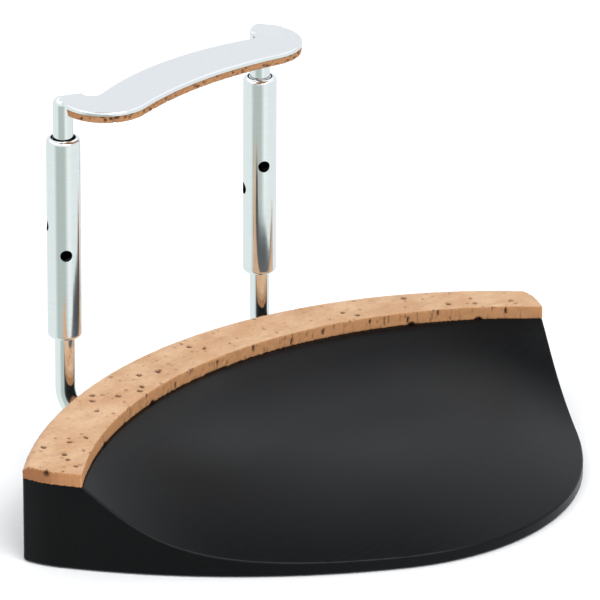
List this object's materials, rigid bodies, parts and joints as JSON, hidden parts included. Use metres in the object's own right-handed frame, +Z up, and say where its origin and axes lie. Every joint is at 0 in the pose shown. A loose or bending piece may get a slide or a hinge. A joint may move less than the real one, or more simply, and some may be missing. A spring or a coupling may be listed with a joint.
{
  "type": "violin chin rest",
  "caption": "Side-mounted chin rest: a scooped black wood plate with a corked seat and a two-barrel screw clamp with a corked metal foot.",
  "frame": {"origin": "middle of the object's box, at the height of the cup's rim, which the part stands on", "axes": "+Z up from the rim towards the clamp's foot, +X along the line of the two clamp barrels, +Y from the free edge of the plate towards the clamp"},
  "size_m": [0.1035, 0.0709, 0.0637],
  "materials": {
    "ebony": "satin",
    "cork": "matte",
    "plated_steel": "polished",
    "plated_barrel": "polished",
    "plated_foot": "polished"
  },
  "bodies": {
    "plate": {"chin_plate": "ebony", "seat_cork": "cork", "left_leg": "plated_steel", "right_leg": "plated_steel"},
    "foot": {"foot_plate": "plated_foot", "foot_cork": "cork", "left_arm": "plated_steel", "right_arm": "plated_steel"},
    "left_barrel": {"left_barrel": "plated_barrel"},
    "right_barrel": {"right_barrel": "plated_barrel"}
  },
  "joints": [
    {"name": "foot_slide", "type": "slide", "parent": "plate", "child": "foot", "axis": [0, 0, 1], "range_m": [-0.006, 0.006]},
    {"name": "left_barrel_spin", "type": "hinge", "parent": "foot", "child": "left_barrel", "pos_m": [-0.02435, 0.03275, 0.04], "axis": [0, 0, 1], "range_deg": [-1440, 1440]},
    {"name": "right_barrel_spin", "type": "hinge", "parent": "foot", "child": "right_barrel", "pos_m": [0.01895, 0.03275, 0.04], "axis": [0, 0, 1], "range_deg": [-1440, 1440]}
  ],
  "couplings": [
    {"joint": "left_barrel_spin", "follows": "foot_slide", "rad_per_m": 4188.8},
    {"joint": "right_barrel_spin", "follows": "foot_slide", "rad_per_m": 4188.8}
  ]
}
